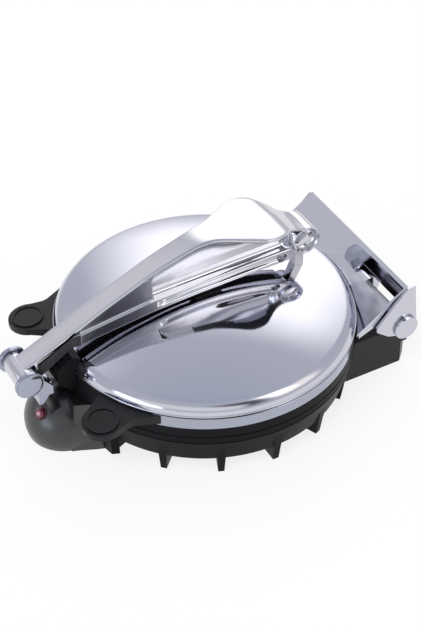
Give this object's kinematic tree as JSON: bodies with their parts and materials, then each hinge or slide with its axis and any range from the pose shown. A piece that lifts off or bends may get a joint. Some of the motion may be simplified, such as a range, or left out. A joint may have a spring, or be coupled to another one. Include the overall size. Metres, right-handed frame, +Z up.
{
  "type": "electric roti maker",
  "caption": "Round electric flatbread press with a black ribbed bowl, chromed domed lid, hinge hood and a leaf-topped pressing arm that ends in a latch over a lamp bulge",
  "frame": {"origin": "on the table, under the middle of the whole part; the pan's axis runs through it", "axes": "+Z up, -Y to the front where the latch and the lamp are, +Y to the hinge, +X to the right seen from the front"},
  "size_m": [0.251, 0.354, 0.15],
  "materials": {
    "black_phenolic": "satin",
    "chrome": "polished",
    "dark_trim": "matte",
    "coated_aluminium": "matte",
    "bare_aluminium": "satin",
    "steel": "satin",
    "red_lens": "glossy",
    "lamp_glass": "glossy",
    "brass": "satin",
    "rubber": "matte",
    "black_inlet": "glossy",
    "ceramic": "matte"
  },
  "bodies": {
    "base": {"base_housing": "black_phenolic", "base_ears": "black_phenolic", "hinge_block": "black_phenolic", "base_band": "chrome", "ear_caps": "black_phenolic", "lamp_housing": "black_phenolic", "lamp_lens": "red_lens", "neon_lamp": "lamp_glass", "lower_plate": "coated_aluminium", "lower_element": "steel", "heat_shield": "bare_aluminium", "shield_posts": "steel", "thermostat": "ceramic", "thermal_fuse": "steel", "bottom_cover": "steel", "cover_screws": "steel", "power_inlet": "black_inlet", "inlet_pins": "brass", "terminal_block": "ceramic", "block_cover": "black_phenolic", "hinge_pin_right": "chrome", "hinge_pin_left": "chrome"},
    "lid": {"lid_dome": "chrome", "lid_ring": "dark_trim", "upper_plate": "coated_aluminium", "upper_element": "steel", "lid_reflector": "bare_aluminium", "reflector_posts": "steel", "hinge_hood": "chrome", "hinge_cheek_right": "chrome", "hinge_cheek_left": "chrome", "hinge_tube": "chrome", "hinge_rod": "steel", "arm_post": "chrome", "front_block": "black_phenolic"},
    "arm": {"press_arm": "chrome", "arm_top": "chrome", "arm_pin": "chrome", "press_pad": "rubber", "latch_pin": "chrome"},
    "latch": {"latch_clip": "chrome"}
  },
  "joints": [
    {"name": "lid_hinge", "type": "hinge", "parent": "base", "child": "lid", "pos_m": [0, 0.148, 0.048], "axis": [-1, 0, 0], "range_deg": [0, 100]},
    {"name": "arm_lift", "type": "hinge", "parent": "lid", "child": "arm", "pos_m": [0, 0.088, 0.117], "axis": [-1, 0, 0], "range_deg": [0, 75]},
    {"name": "latch_swing", "type": "hinge", "parent": "arm", "child": "latch", "pos_m": [0, -0.165, 0.074], "axis": [-1, 0, 0], "range_deg": [0, 100]}
  ]
}
